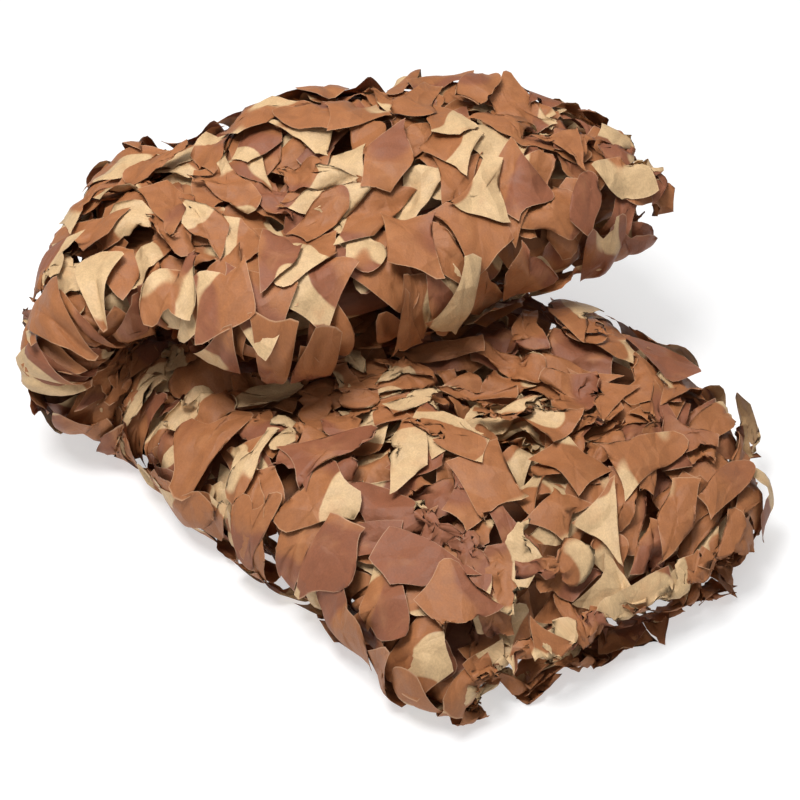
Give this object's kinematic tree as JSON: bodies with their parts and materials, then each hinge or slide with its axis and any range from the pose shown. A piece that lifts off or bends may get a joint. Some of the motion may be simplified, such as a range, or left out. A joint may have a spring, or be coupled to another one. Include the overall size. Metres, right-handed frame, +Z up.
{
  "type": "camouflage netting",
  "caption": "Leaf-cut camouflage cloth, gathered into a thick bundle and doubled over on itself, for hiding or shading what it is spread over.",
  "frame": {"origin": "bottom centre of the bundle's bounding box, on the surface that it lies on", "axes": "+Z up, +X from the bundle's fold towards its two open ends, -Y towards the side where the lower lobe reaches out from under the upper one"},
  "size_m": [0.6697, 0.6196, 0.2912],
  "materials": {
    "leaf_cut_cloth": "matte, printed with soft-edged sand, mid brown and dark brown blotches"
  },
  "bodies": {
    "root": {"netting": "leaf_cut_cloth"}
  },
  "joints": []
}
